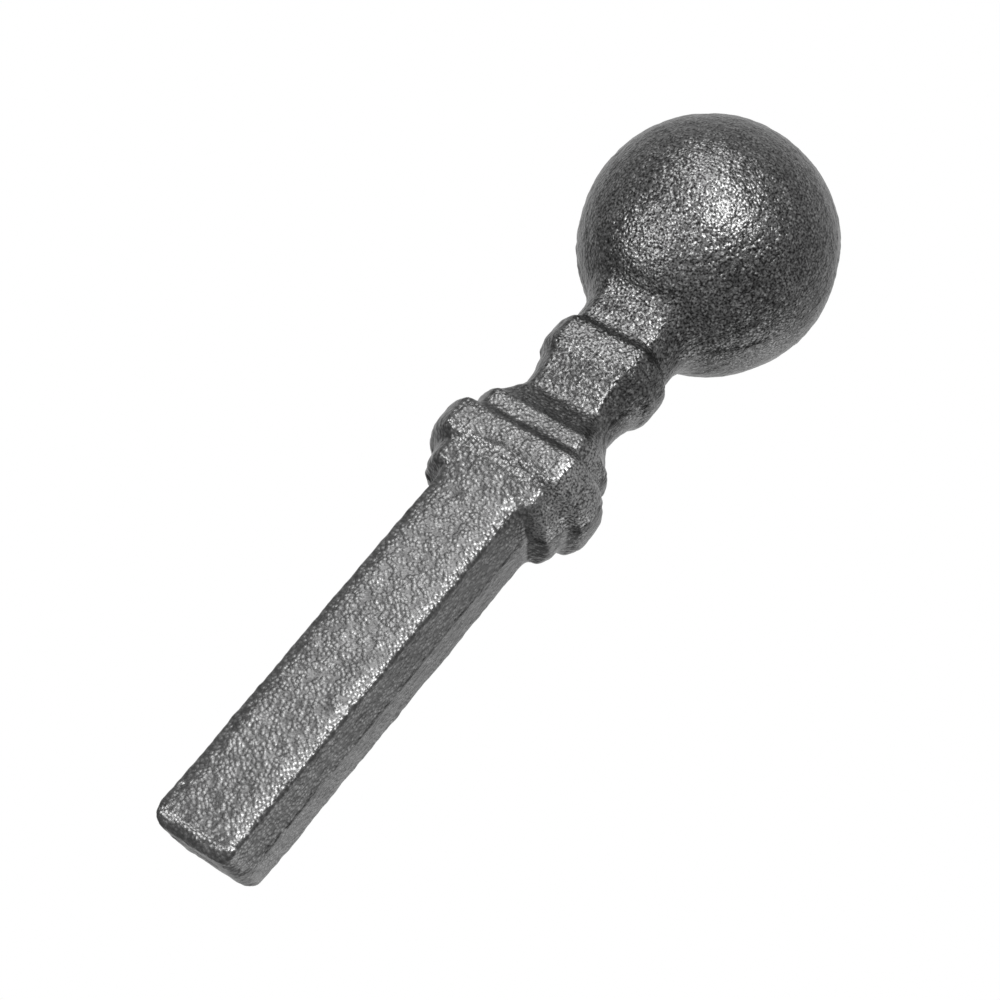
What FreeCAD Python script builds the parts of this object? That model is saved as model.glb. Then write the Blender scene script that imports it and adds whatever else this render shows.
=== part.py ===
import FreeCAD, Part
import math
import os
import Sketcher

# Ball finial for a railing post, cast in iron in a two-part mould.
# The origin is on the axis at the seat, under the lower bead, where the square shank
# leaves the post. The shank hangs below it, and Z runs up the axis to the ball.
# The mould joint is the plane Y = 0, so the side faces draw inwards away from it.
# The mouldings above it are turned, with a flat land at their front and their back,
# and so is the neck, while the ball is plain.

NODE = "finial_casting"

# Driving dimensions, in millimetres and degrees
SIZES = {
    "ball_diameter": 50.0,
    "neck_length": 5.7,
    "neck_diameter": 21.4,
    "neck_depth": 16.4,
    "neck_flare": 8.2,
    "upper_bead_diameter": 24.8,
    "upper_bead_depth": 19.6,
    "upper_bead_height": 7.9,
    "upper_bead_round": 2.3,
    "vase_diameter": 24.4,
    "vase_depth": 19.2,
    "vase_height": 8.4,
    "waist_diameter": 19.4,
    "waist_depth": 12.8,
    "splay_height": 5.8,
    "ring_diameter": 29.0,
    "ring_depth": 21.4,
    "ring_height": 5.0,
    "ring_round": 1.5,
    "collar_diameter": 35.4,
    "collar_depth": 25.6,
    "collar_height": 8.3,
    "collar_round": 2.7,
    "lower_bead_diameter": 29.0,
    "lower_bead_depth": 20.6,
    "lower_bead_height": 5.7,
    "lower_bead_round": 2.2,
    "roll_radius": 8.0,
    "roll_width": 3.4,
    "shank_length": 84.6,
    "shank_end_slant": 4.8,
    "shank_width": 18.6,
    "shank_depth": 19.5,
    "end_round": 3.2,
    "draft_angle": 5.5,
    "bedding": 0.5,
}


def size(name):
    """Expression that reads one driving dimension from the sheet."""
    return "Sizes." + name


# Heights of the mouldings above the seat, each stacked on the one below
LEVELS = {"lower_bead": "0"}
LEVELS["collar"] = LEVELS["lower_bead"] + " + " + size("lower_bead_height")
LEVELS["ring"] = LEVELS["collar"] + " + " + size("collar_height")
LEVELS["splay"] = LEVELS["ring"] + " + " + size("ring_height")
LEVELS["waist"] = LEVELS["splay"] + " + " + size("splay_height")
LEVELS["upper_bead"] = LEVELS["waist"] + " + " + size("vase_height")
LEVELS["neck"] = LEVELS["upper_bead"] + " + " + size("upper_bead_height")
LEVELS["ball"] = LEVELS["neck"] + " + " + size("neck_length") + " + " + size("ball_diameter") + " / 2"


def make_sheet(doc):
    """Sheet of driving dimensions, one named cell for each."""
    sheet = doc.addObject("Spreadsheet::Sheet", "Sizes")
    for row, (name, value) in enumerate(SIZES.items(), start=1):
        sheet.set("A%d" % row, name)
        sheet.set("B%d" % row, str(value))
        sheet.setAlias("B%d" % row, name)
    doc.recompute()
    return sheet


def new_sketch(body, name, role, offset=None):
    """Sketch on one of the body's own origin planes, lifted along its normal."""
    plane = next(f for f in body.Origin.OriginFeatures if f.Role == role)
    sketch = body.newObject("Sketcher::SketchObject", name)
    sketch.AttachmentSupport = [(plane, "")]
    sketch.MapMode = "FlatFace"
    if offset:
        sketch.setExpression("AttachmentOffset.Base.z", offset)
    return sketch


def fix(sketch, *terms):
    """Geometric rule between edges of the sketch."""
    return sketch.addConstraint(Sketcher.Constraint(*terms))


def drive(sketch, name, expression, *terms):
    """Dimension of the sketch, given a name and driven from the sheet."""
    sketch.renameConstraint(fix(sketch, *terms), name)
    sketch.setExpression("Constraints." + name, expression)


def arc(centre, radius, start, end):
    """Anticlockwise arc between two angles, in radians."""
    circle = Part.Circle(FreeCAD.Vector(centre[0], centre[1], 0), FreeCAD.Vector(0, 0, 1), radius)
    return Part.ArcOfCircle(circle, start, end)


def line(start, end):
    """Straight edge between two points of the sketch plane."""
    return Part.LineSegment(FreeCAD.Vector(start[0], start[1], 0), FreeCAD.Vector(end[0], end[1], 0))


# Point and edge references of a sketch
START = 1
END = 2
CENTRE = 3
ORIGIN = -1
X_AXIS = -1

# Two positions nearer than this, in millimetres, count as the same one
TOUCHING = 0.001


def chain_tangent(sketch, chain):
    """Join each edge of the chain smoothly to the next one."""
    for edge, following in zip(chain, chain[1:]):
        fix(sketch, "Tangent", edge, END, following, START)


def land_outline(sketch, diameter, depth):
    """Turned section with a flat land at its front and its back, first drawn at the ring's size."""
    radius = SIZES["ring_diameter"] / 2
    half_depth = SIZES["ring_depth"] / 2
    half_land = math.sqrt(radius ** 2 - half_depth ** 2)
    turn = math.atan2(half_depth, half_land)
    right = sketch.addGeometry(arc((0, 0), radius, -turn, turn))
    back = sketch.addGeometry(line((half_land, half_depth), (-half_land, half_depth)))
    left = sketch.addGeometry(arc((0, 0), radius, math.pi - turn, math.pi + turn))
    front = sketch.addGeometry(line((-half_land, -half_depth), (half_land, -half_depth)))
    for edge, following in ((right, back), (back, left), (left, front), (front, right)):
        fix(sketch, "Coincident", edge, END, following, START)
    for side in (right, left):
        fix(sketch, "Coincident", side, CENTRE, ORIGIN, START)
    fix(sketch, "Equal", right, left)
    for land in (back, front):
        fix(sketch, "Horizontal", land)
    side_radius = "(%s) / 2" % diameter
    land_reach = "(%s) / 2" % depth
    drive(sketch, "side_radius", side_radius, "Radius", right, radius)
    drive(sketch, "back_land", land_reach, "DistanceY", ORIGIN, START, back, START, half_depth)
    drive(sketch, "front_land", land_reach, "DistanceY", front, START, ORIGIN, START, half_depth)


def rim_edges(shape, heights):
    """Names of the edges that lie flat at one of the given heights."""
    names = []
    for index, edge in enumerate(shape.Edges, start=1):
        box = edge.BoundBox
        nearest = min(abs(box.ZMin - height) for height in heights)
        if box.ZLength < TOUCHING and nearest < TOUCHING:
            names.append("Edge%d" % index)
    return names


def make_moulding(doc, prefix, sunk):
    """Moulding with rounded rims, sunk a little into the one below to melt into it."""
    body = doc.addObject("PartDesign::Body", prefix)
    plan = new_sketch(body, prefix + "_plan", "XY_Plane", LEVELS[prefix] + " - " + sunk)
    land_outline(plan, size(prefix + "_diameter"), size(prefix + "_depth"))
    pad = body.newObject("PartDesign::Pad", prefix + "_pad")
    pad.Profile = plan
    pad.setExpression("Length", size(prefix + "_height") + " + " + sunk)
    doc.recompute()
    rims = rim_edges(pad.Shape, (pad.Shape.BoundBox.ZMin, pad.Shape.BoundBox.ZMax))
    fillet = body.newObject("PartDesign::Fillet", prefix + "_rims")
    fillet.Base = (pad, rims)
    fillet.setExpression("Radius", size(prefix + "_round"))
    return body


def drafted_outline(sketch):
    """Shank's section: sides that draw in from the mould joint, and lands that roll off to them."""
    half_width = SIZES["shank_width"] / 2
    half_depth = SIZES["shank_depth"] / 2
    radius = SIZES["roll_radius"]
    turn = math.asin(SIZES["roll_width"] / radius)
    draft = math.radians(SIZES["draft_angle"])
    arc_y = half_depth - radius
    ridge_y = arc_y + radius * math.cos(turn)
    ridge_x = half_width - ridge_y * math.tan(draft)
    arc_x = ridge_x - SIZES["roll_width"]
    pi = math.pi
    right_back = sketch.addGeometry(line((half_width, 0), (ridge_x, ridge_y)))
    back_right = sketch.addGeometry(arc((arc_x, arc_y), radius, pi / 2 - turn, pi / 2))
    back = sketch.addGeometry(line((arc_x, half_depth), (-arc_x, half_depth)))
    back_left = sketch.addGeometry(arc((-arc_x, arc_y), radius, pi / 2, pi / 2 + turn))
    left_back = sketch.addGeometry(line((-ridge_x, ridge_y), (-half_width, 0)))
    left_front = sketch.addGeometry(line((-half_width, 0), (-ridge_x, -ridge_y)))
    front_left = sketch.addGeometry(arc((-arc_x, -arc_y), radius, 3 * pi / 2 - turn, 3 * pi / 2))
    front = sketch.addGeometry(line((-arc_x, -half_depth), (arc_x, -half_depth)))
    front_right = sketch.addGeometry(arc((arc_x, -arc_y), radius, 3 * pi / 2, 3 * pi / 2 + turn))
    right_front = sketch.addGeometry(line((ridge_x, -ridge_y), (half_width, 0)))
    chain_tangent(sketch, [back_right, back, back_left])
    chain_tangent(sketch, [front_left, front, front_right])
    corners = ((right_back, back_right), (back_left, left_back), (left_back, left_front))
    corners += ((left_front, front_left), (front_right, right_front), (right_front, right_back))
    for edge, following in corners:
        fix(sketch, "Coincident", edge, END, following, START)
    for land in (back, front):
        fix(sketch, "Horizontal", land)
    for roll in (back_left, front_left, front_right):
        fix(sketch, "Equal", back_right, roll)
    for half in (right_back, left_front):
        fix(sketch, "PointOnObject", half, START, X_AXIS)
    joint_reach = size("shank_width") + " / 2"
    land_reach = size("shank_depth") + " / 2"
    drive(sketch, "right_joint", joint_reach, "DistanceX", ORIGIN, START, right_back, START, half_width)
    drive(sketch, "left_joint", joint_reach, "DistanceX", left_front, START, ORIGIN, START, half_width)
    drive(sketch, "back_land", land_reach, "DistanceY", ORIGIN, START, back, START, half_depth)
    drive(sketch, "front_land", land_reach, "DistanceY", front, START, ORIGIN, START, half_depth)
    drive(sketch, "roll_radius", size("roll_radius"), "Radius", back_right, radius)
    rolls = {
        "back_right_roll": (back, START, right_back, END),
        "back_left_roll": (left_back, START, back, END),
        "front_left_roll": (left_front, END, front, START),
        "front_right_roll": (front, END, right_front, START),
    }
    for name, ends in rolls.items():
        drive(sketch, name, size("roll_width"), "DistanceX", *ends, SIZES["roll_width"])
    lean = size("draft_angle") + " * 1 deg"
    drive(sketch, "right_back_draft", "90 deg + " + lean, "Angle", right_back, pi / 2 + draft)
    drive(sketch, "left_back_draft", "-90 deg - " + lean, "Angle", left_back, -pi / 2 - draft)
    drive(sketch, "left_front_draft", "-90 deg + " + lean, "Angle", left_front, -pi / 2 + draft)
    drive(sketch, "right_front_draft", "90 deg - " + lean, "Angle", right_front, pi / 2 - draft)


def make_loft(doc, name, stations):
    """Body through turned sections, each with its level, diameter and depth."""
    body = doc.addObject("PartDesign::Body", name)
    sections = []
    for number, (level, diameter, depth) in enumerate(stations, start=1):
        sketch = new_sketch(body, "%s_section_%d" % (name, number), "XY_Plane", level)
        land_outline(sketch, diameter, depth)
        sections.append(sketch)
    doc.recompute()
    loft = body.newObject("PartDesign::AdditiveLoft", name + "_loft")
    loft.Profile = sections[0]
    loft.Sections = sections[1:]
    return body


def between(low, high, share):
    """Expression for a size part of the way from one driving dimension to another."""
    return "%s + (%s - %s) * %.4f" % (size(low), size(high), size(low), share)


# How much of the splay's spread its sides have halfway down: less than half, as it is hollow
SPLAY_MIDDLE = 0.45


def splay_stations():
    """Sections of the splay, a hollow slope from inside the ring up to the waist."""
    foot = "%s - %s" % (LEVELS["splay"], size("ring_round"))
    foot_diameter = size("ring_diameter") + " - " + size("bedding")
    foot_depth = size("ring_depth") + " - " + size("bedding")
    middle = "(%s + %s) / 2" % (foot, LEVELS["waist"])
    middle_diameter = between("waist_diameter", "ring_diameter", SPLAY_MIDDLE)
    middle_depth = between("waist_depth", "ring_depth", SPLAY_MIDDLE)
    return [
        (foot, foot_diameter, foot_depth),
        (middle, middle_diameter, middle_depth),
        (LEVELS["waist"], size("waist_diameter"), size("waist_depth")),
    ]


# Shares of the vase's height at which its sections lie
VASE_RISES = (0.0, 0.35, 0.7, 1.0)


def vase_stations():
    """Sections of the vase, whose sides swell and lands lean out up into the bead."""
    reach = "(%s + %s)" % (size("vase_height"), size("upper_bead_round"))
    stations = []
    for rise in VASE_RISES:
        level = "%s + %s * %.4f" % (LEVELS["waist"], reach, rise)
        if rise == VASE_RISES[0]:
            level = level + " - " + size("bedding")
        stations.append((
            level,
            between("waist_diameter", "vase_diameter", rise ** 2),
            between("waist_depth", "vase_depth", rise),
        ))
    return stations


def end_wedge(sketch):
    """Side view of the wedge that the shank's end lacks: all that is below its slant."""
    reach = SIZES["shank_depth"] / 2
    foot = -SIZES["shank_length"]
    rise = SIZES["shank_end_slant"]
    base = sketch.addGeometry(line((-reach, foot), (reach, foot)))
    back = sketch.addGeometry(line((reach, foot), (reach, foot + rise)))
    slant = sketch.addGeometry(line((reach, foot + rise), (-reach, foot)))
    for edge, following in ((base, back), (back, slant), (slant, base)):
        fix(sketch, "Coincident", edge, END, following, START)
    fix(sketch, "Horizontal", base)
    fix(sketch, "Vertical", back)
    half_depth = size("shank_depth") + " / 2"
    drive(sketch, "foot", size("shank_length"), "DistanceY", base, START, ORIGIN, START, -foot)
    drive(sketch, "rise", size("shank_end_slant"), "DistanceY", back, START, back, END, rise)
    drive(sketch, "back_side", half_depth, "DistanceX", ORIGIN, START, base, END, reach)
    drive(sketch, "front_side", half_depth, "DistanceX", base, START, ORIGIN, START, reach)


def make_shank(doc):
    """Square shank, its end slanted up to the back and rounded all round."""
    body = doc.addObject("PartDesign::Body", "shank")
    foot = "-" + size("shank_length")
    section = new_sketch(body, "shank_section", "XY_Plane", foot)
    drafted_outline(section)
    pad = body.newObject("PartDesign::Pad", "shank_pad")
    pad.Profile = section
    pad.setExpression("Length", "%s + %s / 2" % (size("shank_length"), size("lower_bead_height")))
    doc.recompute()
    wedge = new_sketch(body, "end_slant", "YZ_Plane")
    end_wedge(wedge)
    slant = body.newObject("PartDesign::Pocket", "end_slanted")
    slant.Profile = wedge
    slant.Midplane = True
    slant.setExpression("Length", size("shank_width") + " * 2")
    doc.recompute()
    faces = slant.Shape.Faces
    lowest = min(range(len(faces)), key=lambda index: faces[index].CenterOfMass.z)
    rounding = body.newObject("PartDesign::Fillet", "end_rounded")
    rounding.Base = (slant, ["Face%d" % (lowest + 1)])
    rounding.setExpression("Radius", size("end_round"))
    return body


def make_ball(doc):
    """Plain ball on its neck, with a hollow curve where they meet."""
    body = doc.addObject("PartDesign::Body", "neck_and_ball")
    foot = "%s - %s" % (LEVELS["neck"], size("bedding"))
    section = new_sketch(body, "neck_section", "XY_Plane", foot)
    land_outline(section, size("neck_diameter"), size("neck_depth"))
    neck = body.newObject("PartDesign::Pad", "neck")
    neck.Profile = section
    to_ball_centre = "%s + %s / 2" % (size("neck_length"), size("ball_diameter"))
    neck.setExpression("Length", "%s + %s" % (size("bedding"), to_ball_centre))
    ball = body.newObject("PartDesign::AdditiveSphere", "ball")
    ball.AttachmentSupport = section.AttachmentSupport
    ball.MapMode = "FlatFace"
    ball.setExpression("AttachmentOffset.Base.z", LEVELS["ball"])
    ball.setExpression("Radius", size("ball_diameter") + " / 2")
    doc.recompute()
    flare = body.newObject("PartDesign::Fillet", "neck_flare")
    flare.Base = (ball, ball_edges(ball.Shape))
    flare.setExpression("Radius", size("neck_flare"))
    return body


def ball_edges(shape):
    """Names of the edges where the ball meets another surface."""
    names = []
    for index, edge in enumerate(shape.Edges, start=1):
        faces = shape.ancestorsOfType(edge, Part.Face)
        round_faces = [face for face in faces if face.Surface.TypeId == "Part::GeomSphere"]
        if len(faces) == 2 and len(round_faces) == 1:
            names.append("Edge%d" % index)
    return names


def check(doc):
    """Stop if any object of the model failed to build."""
    for item in doc.Objects:
        if "Invalid" in item.State or "Error" in item.State:
            raise RuntimeError("not built: %s %s" % (item.Name, item.State))


def main():
    os.makedirs("parts", exist_ok=True)
    doc = FreeCAD.newDocument("finial")
    make_sheet(doc)
    pieces = [make_shank(doc), make_moulding(doc, "lower_bead", "0")]
    for prefix in ("collar", "ring", "upper_bead"):
        pieces.append(make_moulding(doc, prefix, size("bedding")))
    pieces.append(make_loft(doc, "splay", splay_stations()))
    pieces.append(make_loft(doc, "vase", vase_stations()))
    pieces.append(make_ball(doc))
    casting = doc.addObject("Part::MultiFuse", NODE)
    casting.Label = NODE
    casting.Shapes = pieces
    casting.Refine = True
    casting.Placement = FreeCAD.Placement()
    doc.recompute()
    check(doc)
    shape = casting.Shape
    if shape.isNull() or not shape.isValid() or len(shape.Solids) != 1:
        raise RuntimeError("the casting is not one valid solid")
    shape.exportStep(os.path.join("parts", NODE + ".step"))
    box = shape.BoundBox
    extent = (box.XLength, box.YLength, box.ZLength)
    print("%s: %.1f x %.1f x %.1f mm, %.0f mm3" % ((NODE,) + extent + (shape.Volume,)))


main()
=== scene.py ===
import math

import bpy
import numpy as np
from mathutils import Matrix, Vector, noise


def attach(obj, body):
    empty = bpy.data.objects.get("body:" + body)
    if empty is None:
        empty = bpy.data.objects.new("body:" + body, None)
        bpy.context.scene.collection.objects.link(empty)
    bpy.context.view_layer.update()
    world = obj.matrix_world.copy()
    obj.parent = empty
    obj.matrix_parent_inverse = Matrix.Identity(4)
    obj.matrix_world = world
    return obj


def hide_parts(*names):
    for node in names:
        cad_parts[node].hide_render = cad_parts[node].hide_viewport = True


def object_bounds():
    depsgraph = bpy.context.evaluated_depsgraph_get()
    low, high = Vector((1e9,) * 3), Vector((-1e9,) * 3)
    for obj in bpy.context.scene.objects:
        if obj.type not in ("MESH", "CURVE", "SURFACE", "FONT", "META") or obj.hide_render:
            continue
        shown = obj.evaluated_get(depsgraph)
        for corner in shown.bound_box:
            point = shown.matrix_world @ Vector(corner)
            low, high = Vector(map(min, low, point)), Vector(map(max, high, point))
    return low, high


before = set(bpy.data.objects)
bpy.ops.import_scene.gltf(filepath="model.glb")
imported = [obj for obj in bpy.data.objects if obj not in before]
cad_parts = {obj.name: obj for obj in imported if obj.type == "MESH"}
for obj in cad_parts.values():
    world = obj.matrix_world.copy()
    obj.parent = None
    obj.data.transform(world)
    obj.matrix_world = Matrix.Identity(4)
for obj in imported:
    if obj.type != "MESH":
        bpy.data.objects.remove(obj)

# Ball finial for a railing post: one sand casting in grey iron, seen from the front and below.
# The casting's skin is a fine even mesh over the solid. Its hollows are filled as iron fills
# them where sand has crumbled, and the swell of the mould, the lumps of the sand, the mould
# joint and a few pits are in its shape. Only the grain of the sand is bump, because it is finer
# than the mesh.
# Sizes of the casting are in millimetres, and heights are above the seat under the lower bead.

MM = 0.001

cad_low, cad_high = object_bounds()


def rgb(hex_code):
    """Linear colour of an sRGB hex value."""
    channels = [int(hex_code[i:i + 2], 16) / 255 for i in (1, 3, 5)]
    linear = [c / 12.92 if c <= 0.04045 else ((c + 0.055) / 1.055) ** 2.4 for c in channels]
    return (*linear, 1.0)


# Mesh of the skin, and how far it lies inside the solid to leave room for its reliefs
SKIN_STEP = 0.50
SKIN_INSET = 0.14
CREASE_PASSES = 2

# Reliefs of the skin: width and height
SWELL = (9.0, 0.16)
RIPPLE = (3.2, 0.10)
LUMPS = (1.5, 0.13)

# Sand fillets: how readily a hollow fills, by height. The one between the lower bead and the
# collar does, and the one over the ring does only on the right side, by place across. The groove
# over the collar stays crisp, and behind the mould joint the hollows fill less.
FILLET_PASSES = 240
FILLETS = ([-6.0, -2.0, 7.0, 10.0], [0.03, 1.0, 1.0, 0.03])
SIDE_FILLETS = ([15.0, 17.5, 22.0, 30.0], [0.0, 1.0, 1.0, 0.0])
SIDE_FILLETS_ACROSS = ([7.0, 11.0], [0.0, 1.0])
FILL_BEHIND = 0.25

# Painted light on the right side, by height and by place across: the iron is painted lighter there
RIGHT_SIDE_PAINTED_LIGHT = ([-2.0, 1.0, 20.0, 26.0], [0.0, 0.7, 0.7, 0.0])
RIGHT_SIDE_PAINTED_LIGHT_ACROSS = ([9.5, 12.0], [0.0, 1.0])

# Mould joint: its path by height comes forward on the mouldings, and it wanders about that path.
# It stands up as a ridge, and the back half of the casting is shifted a little to the left.
JOINT_PATH = ([-5.0, 3.0, 18.0, 26.0, 34.0, 48.0], [0.0, -1.2, -1.2, -2.6, -1.6, 0.0])
JOINT_WANDER = (4.0, 0.35)
RIDGE_WIDTH = 0.35
RIDGE_HEIGHT = 0.10
SHIFT = 0.20
SHIFT_WIDTH = 0.12

# Pits on the ball, on the vase and near the shank's end: place, radius and depth
PITS = (
    ((19.2, -6.3, 57.2), 0.8, 0.45),
    ((-3.5, -8.6, 32.1), 0.9, 0.35),
    ((-7.0, -9.5, -76.5), 1.0, 0.40),
)


def remeshed(node):
    """Copy of a CAD node as an even mesh of small quads."""
    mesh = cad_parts[node].data.copy()
    copy = bpy.data.objects.new("blank", mesh)
    bpy.context.scene.collection.objects.link(copy)
    voxels = copy.modifiers.new("even", "REMESH")
    voxels.mode = "VOXEL"
    voxels.voxel_size = SKIN_STEP * MM
    graph = bpy.context.evaluated_depsgraph_get()
    even = bpy.data.meshes.new_from_object(copy.evaluated_get(graph))
    bpy.data.objects.remove(copy)
    return even


def points_of(mesh):
    """Vertex positions of a mesh, in millimetres."""
    flat = np.zeros(len(mesh.vertices) * 3)
    mesh.vertices.foreach_get("co", flat)
    return flat.reshape(-1, 3) / MM


def put_points(mesh, points):
    """Move a mesh's vertices to positions given in millimetres."""
    mesh.vertices.foreach_set("co", (points * MM).ravel())
    mesh.update()


def normals_of(mesh):
    """Vertex normals of a mesh."""
    flat = np.zeros(len(mesh.vertices) * 3)
    mesh.vertices.foreach_get("normal", flat)
    return flat.reshape(-1, 3)


def edge_ends(mesh):
    """First and second vertex of each edge."""
    ends = np.zeros(len(mesh.edges) * 2, int)
    mesh.edges.foreach_get("vertices", ends)
    return ends[0::2], ends[1::2]


def neighbour_means(points, first, second):
    """Mean position of the neighbours of each point, along the edges from first to second."""
    size = len(points)
    count = np.bincount(first, minlength=size) + np.bincount(second, minlength=size)
    sums = [
        np.bincount(first, points[second, axis], size) + np.bincount(second, points[first, axis], size)
        for axis in range(3)
    ]
    return np.stack(sums, axis=1) / count[:, None]


def softened(mesh, points):
    """Points drawn towards their neighbours, which rounds the sharp edges a little."""
    first, second = edge_ends(mesh)
    for _ in range(CREASE_PASSES):
        points = (points + neighbour_means(points, first, second)) / 2
    return points


def filleted(mesh, points, normals, front):
    """Points raised in the hollows, where the sand crumbles and the iron fills in."""
    first, second = edge_ends(mesh)
    height = points[:, 2]
    fill = np.interp(height, *FILLETS) * (FILL_BEHIND + (1 - FILL_BEHIND) * front)
    across = np.interp(points[:, 0], *SIDE_FILLETS_ACROSS)
    fill = np.maximum(fill, front * np.interp(height, *SIDE_FILLETS) * across)
    for _ in range(FILLET_PASSES):
        hollow = ((neighbour_means(points, first, second) - points) * normals).sum(axis=1)
        points = points + (np.clip(hollow, 0, None) * fill)[:, None] * normals
    return points


def relief(points, width, height):
    """Height of a smooth random relief at each point."""
    return height * np.array([noise.noise(Vector(p) / width) for p in points])


def behind_joint(points):
    """How far each point lies behind the wandering mould joint; less than 0 is in front."""
    along_axis = points * np.array([0, 0, 1])
    joint = np.interp(points[:, 2], *JOINT_PATH) + relief(along_axis, *JOINT_WANDER)
    return points[:, 1] - joint


def in_front(behind):
    """1 in front of the mould joint, 0 behind it, and between over the millimetre around it."""
    return np.clip(0.5 - behind, 0, 1)


def skin_rise(points, behind):
    """How far the skin lies outside the solid's surface at each point."""
    rise = relief(points, *SWELL) + relief(points, *RIPPLE) + relief(points, *LUMPS) - SKIN_INSET
    rise += RIDGE_HEIGHT * np.exp(-(behind / RIDGE_WIDTH) ** 2)
    for place, radius, depth in PITS:
        away = np.linalg.norm(points - np.array(place), axis=1)
        rise -= depth * np.exp(-(away / radius) ** 2)
    return rise


def store(mesh, name, values):
    """Keep a value per vertex for the material."""
    mesh.attributes.new(name, "FLOAT", "POINT").data.foreach_set("value", values)


def casting_skin():
    """Sand-cast skin over the whole finial."""
    mesh = remeshed("finial_casting")
    points = softened(mesh, points_of(mesh))
    put_points(mesh, points)
    behind = behind_joint(points)
    front = in_front(behind)
    points = filleted(mesh, points, normals_of(mesh), front)
    put_points(mesh, points)
    points = points + normals_of(mesh) * skin_rise(points, behind)[:, None]
    points[:, 0] -= SHIFT / (1 + np.exp(-behind / SHIFT_WIDTH))
    points = np.clip(points, np.array(cad_low) / MM, np.array(cad_high) / MM)
    put_points(mesh, points)
    # Painted light: weight of the lighter tone painted on the right side, in front of the mould joint
    painted_light = np.interp(points[:, 2], *RIGHT_SIDE_PAINTED_LIGHT) * np.interp(points[:, 0], *RIGHT_SIDE_PAINTED_LIGHT_ACROSS)
    store(mesh, "behind_joint", behind)
    store(mesh, "painted_light", front * painted_light)
    mesh.shade_smooth()
    skin = bpy.data.objects.new("finial_skin", mesh)
    bpy.context.scene.collection.objects.link(skin)
    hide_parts("finial_casting")
    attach(skin, "root")
    return skin


def add(tree, kind, settings=None, inputs=None, stops=()):
    """Node with its settings, its inputs, and its ramp's stops as positions and hex colours.

    An input is given a value, an output, or a node, which stands for its first output.
    """
    node = tree.nodes.new("ShaderNode" + kind)
    for name, value in (settings or {}).items():
        setattr(node, name, value)
    for name, value in (inputs or {}).items():
        if isinstance(value, bpy.types.Node):
            value = value.outputs[0]
        if isinstance(value, bpy.types.NodeSocket):
            tree.links.new(value, node.inputs[name])
        else:
            node.inputs[name].default_value = value
    for number, (position, hex_code) in enumerate(stops):
        node.color_ramp.elements[number].position = position
        node.color_ramp.elements[number].color = rgb(hex_code)
    return node


# Skin of the iron. Moulding sand has grains of about 0.3 mm. Its grit is drawn at 0.42 mm and
# the grains that it leaves on the iron at 0.8 mm, because anything finer doesn't show in the
# render. A grain ends where it is this share of its width from its middle. The metal is mottled.
GRAIN_WIDTH = 0.80
GRAIN_DEPTH = 0.11
GRAIN_EDGE = 0.7
GRIT_WIDTH = 0.42
GRIT_DEPTH = 0.09
MOTTLE_WIDTH = 3.0

# The grit is soft on the shank and gets crisper from the seat up to the neck
CRISP_FROM = 0.0
CRISP_TO = 45.0
SOFT_GRIT = 0.28

# Painted shade along the mould joint: the width of its blotches, how far they push its edge about,
# the distances between which that edge fades, and how dark it is
BLOTCH_WIDTH = 1.6
BLOTCH_STRAY = 5.0
JOINT_SHADE_WITHIN = 3.0
JOINT_SHADE_BEYOND = 3.4
PAINTED_JOINT_SHADE = 0.28

MULTIPLY = {"blend_type": "MULTIPLY"}


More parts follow.
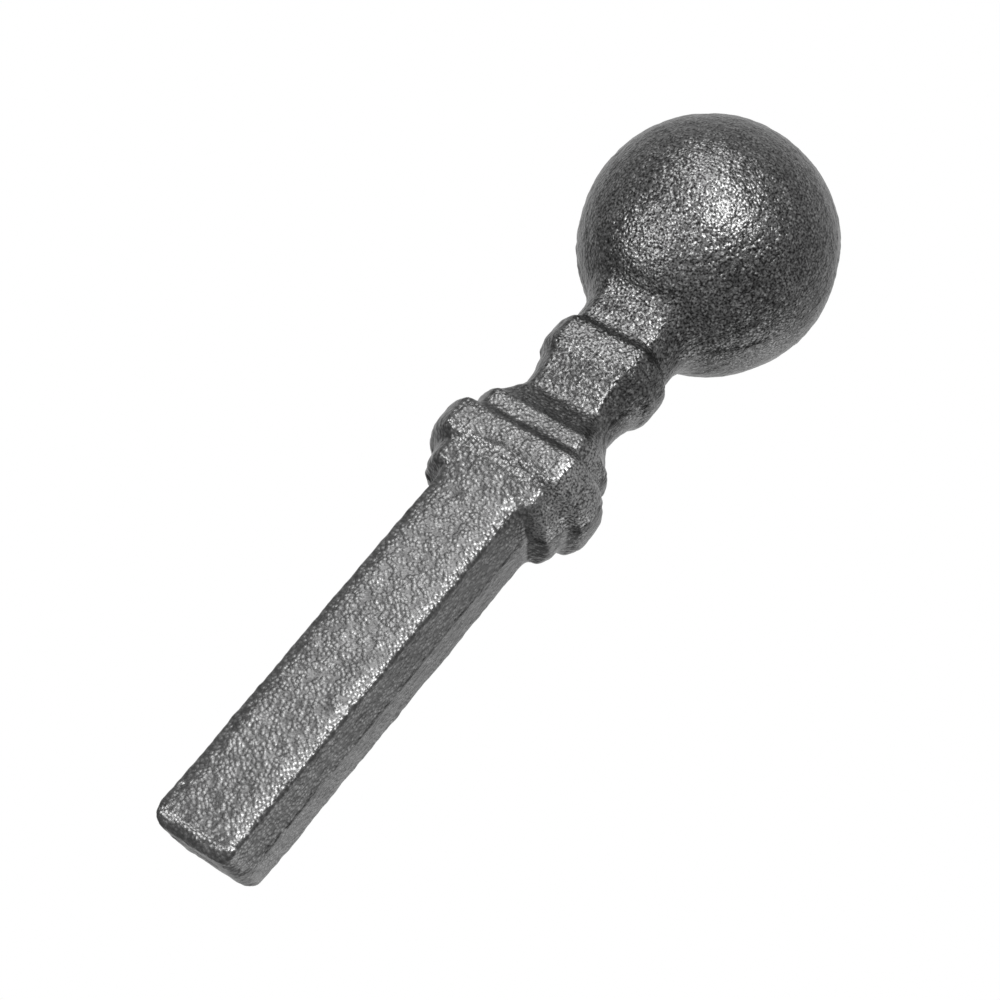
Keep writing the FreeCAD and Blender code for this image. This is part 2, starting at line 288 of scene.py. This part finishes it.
def as_cast_grey_iron():
    """Grey iron as it leaves the sand.

    The sand has left it covered in rounded grains, whose tops glint under a lamp, while the gaps
    between them are darkened with painted shade, so it looks rough and sparkles.
    """
    material = bpy.data.materials.new("as-cast grey iron")
    material.use_nodes = True
    tree = material.node_tree
    tree.nodes.clear()
    place = add(tree, "TexCoord").outputs["Object"]
    height = add(tree, "SeparateXYZ", {}, {"Vector": place}).outputs["Z"]

    cells = add(tree, "TexVoronoi", {}, {"Vector": place, "Scale": 1 / (GRAIN_WIDTH * MM)})
    grains = add(tree, "MapRange", {}, {"Value": cells, "From Min": GRAIN_EDGE, "From Max": 0.0})
    grit = add(tree, "TexNoise", {}, {"Vector": place, "Scale": 1 / (GRIT_WIDTH * MM), "Detail": 1.0})
    crispness = add(tree, "MapRange", {}, {
        "Value": height, "From Min": CRISP_FROM * MM, "From Max": CRISP_TO * MM,
        "To Min": SOFT_GRIT, "To Max": 1.0,
    })

    mottle = add(tree, "TexNoise", {},
                 {"Vector": place, "Scale": 1 / (MOTTLE_WIDTH * MM), "Detail": 3.0})
    metal = add(tree, "ValToRGB", {}, {"Fac": mottle}, ((0.35, "#646464"), (0.65, "#767676")))
    # Painted shade: the gaps between the grains are darkened
    grain_gap_shade = add(tree, "ValToRGB", {}, {"Fac": grains}, ((0.25, "#c8c8c8"), (0.55, "#ffffff")))
    crisp_grit = add(tree, "ValToRGB", {}, {"Fac": grit}, ((0.35, "#686868"), (0.65, "#ffffff")))
    # Soft grit takes the mean tone of the crisp one
    grit_tone = add(tree, "MixRGB", {},
                    {"Fac": crispness, "Color1": rgb("#cacaca"), "Color2": crisp_grit})
    grained = add(tree, "MixRGB", MULTIPLY, {"Fac": 1.0, "Color1": metal, "Color2": grain_gap_shade})
    gritty = add(tree, "MixRGB", MULTIPLY, {"Fac": 1.0, "Color1": grained, "Color2": grit_tone})

    # Painted light: the right side is painted in a lighter tone
    painted_light = add(tree, "Attribute", {"attribute_name": "painted_light"}).outputs["Fac"]
    painted_light_tone = add(tree, "MixRGB", MULTIPLY,
                {"Fac": 1.0, "Color1": crisp_grit, "Color2": rgb("#929292")})
    with_painted_light = add(tree, "MixRGB", {}, {"Fac": painted_light, "Color1": gritty, "Color2": painted_light_tone})

    # Painted shade: a dark ragged line along the mould joint
    behind = add(tree, "Attribute", {"attribute_name": "behind_joint"}).outputs["Fac"]
    off_joint = add(tree, "Math", {"operation": "ABSOLUTE"}, {0: behind})
    blotch = add(tree, "TexNoise", {},
                 {"Vector": place, "Scale": 1 / (BLOTCH_WIDTH * MM), "Detail": 2.0})
    stray = add(tree, "Math", {"operation": "MULTIPLY_ADD"}, {0: blotch, 1: BLOTCH_STRAY, 2: off_joint})
    joint_shade_tone = add(tree, "MapRange", {}, {
        "Value": stray, "From Min": JOINT_SHADE_WITHIN, "From Max": JOINT_SHADE_BEYOND,
        "To Min": PAINTED_JOINT_SHADE, "To Max": 1.0,
    })
    colour = add(tree, "MixRGB", MULTIPLY, {"Fac": 1.0, "Color1": with_painted_light, "Color2": joint_shade_tone})

    grain_bump = add(tree, "Bump", {},
                     {"Height": grains, "Strength": 1.0, "Distance": GRAIN_DEPTH * MM})
    grit_bump = add(tree, "Bump", {}, {
        "Height": grit, "Strength": crispness, "Distance": GRIT_DEPTH * MM, "Normal": grain_bump,
    })
    shader = add(tree, "BsdfPrincipled", {}, {
        "Base Color": colour, "Metallic": 1.0, "Roughness": 0.36, "Normal": grit_bump,
    })
    add(tree, "OutputMaterial", {}, {"Surface": shader})
    return material


# View of the photograph: the finial is seen from the front, a little to its right and from
# below, and the picture is turned so that it lies with its ball at the upper right. The camera
# aims beside the ball's centre, this far to the right and down before the picture is turned.
VIEW_TURN = math.radians(24.0)
VIEW_TILT = math.radians(23.8)
VIEW_ROLL = math.radians(39.75)
SENSOR = 36.0
LENS = 115.2
CAMERA_DISTANCE = 604.23
BALL_CENTRE = Vector((0.0, 0.0, 71.8))
AIM_RIGHT = 0.378
AIM_DOWN = 62.066

ACROSS = Vector((math.cos(VIEW_TURN), math.sin(VIEW_TURN), 0))
BACK = Vector((
    math.cos(VIEW_TILT) * math.sin(VIEW_TURN),
    -math.cos(VIEW_TILT) * math.cos(VIEW_TURN),
    -math.sin(VIEW_TILT),
))
DOWN = ACROSS.cross(BACK)
RIGHT = math.cos(VIEW_ROLL) * ACROSS - math.sin(VIEW_ROLL) * DOWN
UP = -(math.sin(VIEW_ROLL) * ACROSS + math.cos(VIEW_ROLL) * DOWN)
CENTRE = (BALL_CENTRE + AIM_RIGHT * ACROSS + AIM_DOWN * DOWN) * MM


def make_camera():
    """Camera at the photograph's viewing angle and distance."""
    data = bpy.data.cameras.new("camera")
    data.sensor_width = SENSOR
    data.lens = LENS
    data.clip_start = 0.01
    data.clip_end = 20
    camera = bpy.data.objects.new("camera", data)
    turn = Matrix((RIGHT, UP, BACK)).transposed()
    place = Matrix.Translation(CENTRE + CAMERA_DISTANCE * MM * BACK)
    camera.matrix_world = place @ turn.to_4x4()
    bpy.context.scene.collection.objects.link(camera)
    bpy.context.scene.camera = camera


# Lamps: direction as right, up and towards the camera, distance and width in metres, and power
# in watts. Key and side make the ball's two highlights, the top lamp glances off the lands, and
# the low one lights the underside from behind.
LAMPS = {
    "key": ((0.22, 0.44, 0.87), 1.4, 0.45, 33.0),
    "side": ((-0.74, 0.20, 0.64), 0.65, 0.22, 3.9),
    "top": ((-0.02, 0.90, 0.43), 0.75, 0.36, 3.8),
    "low": ((0.45, -0.80, -0.37), 1.4, 1.0, 6.0),
}


def make_lamp(name, direction, distance, width, power):
    """Soft square lamp that points at the finial."""
    data = bpy.data.lights.new(name, "AREA")
    data.shape = "SQUARE"
    data.size = width
    data.energy = power
    lamp = bpy.data.objects.new(name, data)
    right, up, back = direction
    way = (right * RIGHT + up * UP + back * BACK).normalized()
    lamp.location = CENTRE + way * distance
    lamp.rotation_mode = "QUATERNION"
    lamp.rotation_quaternion = way.to_track_quat("Z", "Y")
    bpy.context.scene.collection.objects.link(lamp)


# Strength of the studio's light on the floor, where 1 is the white that the camera and gloss see
WORLD_LIGHT = 0.15


def make_world():
    """Plain studio: white behind the finial and in its gloss, and softer light all round."""
    world = bpy.data.worlds.new("studio")
    bpy.context.scene.world = world
    world.use_nodes = True
    tree = world.node_tree
    tree.nodes.clear()
    rays = add(tree, "LightPath").outputs
    either = {"operation": "MAXIMUM"}
    seen = add(tree, "Math", either, {0: rays["Is Camera Ray"], 1: rays["Is Glossy Ray"]})
    seen = add(tree, "Math", either, {0: seen, 1: rays["Is Transmission Ray"]})
    strength = add(tree, "MapRange", {}, {"Value": seen, "To Min": WORLD_LIGHT, "To Max": 1.0})
    light = add(tree, "Background", {}, {"Color": rgb("#ffffff"), "Strength": strength})
    add(tree, "OutputWorld", {}, {"Surface": light})


# Floor, in metres
FLOOR_LEVEL = -0.6
FLOOR_REACH = 3.0


def make_floor():
    """Plain pale floor, well below the finial."""
    mesh = bpy.data.meshes.new("floor")
    corners = [(x * FLOOR_REACH, y * FLOOR_REACH, FLOOR_LEVEL)
               for x, y in ((-1, -1), (1, -1), (1, 1), (-1, 1))]
    mesh.from_pydata(corners, [], [(0, 1, 2, 3)])
    floor = bpy.data.objects.new("floor", mesh)
    bpy.context.scene.collection.objects.link(floor)
    material = bpy.data.materials.new("matt pale paint")
    material.use_nodes = True
    shader = material.node_tree.nodes["Principled BSDF"]
    shader.inputs["Base Color"].default_value = rgb("#f2f2f2")
    shader.inputs["Roughness"].default_value = 0.8
    mesh.materials.append(material)


skin = casting_skin()
skin.data.materials.clear()
skin.data.materials.append(as_cast_grey_iron())
make_camera()
for lamp_name, lamp in LAMPS.items():
    make_lamp(lamp_name, *lamp)
make_world()
make_floor()
bpy.context.scene.view_settings.view_transform = "Standard"
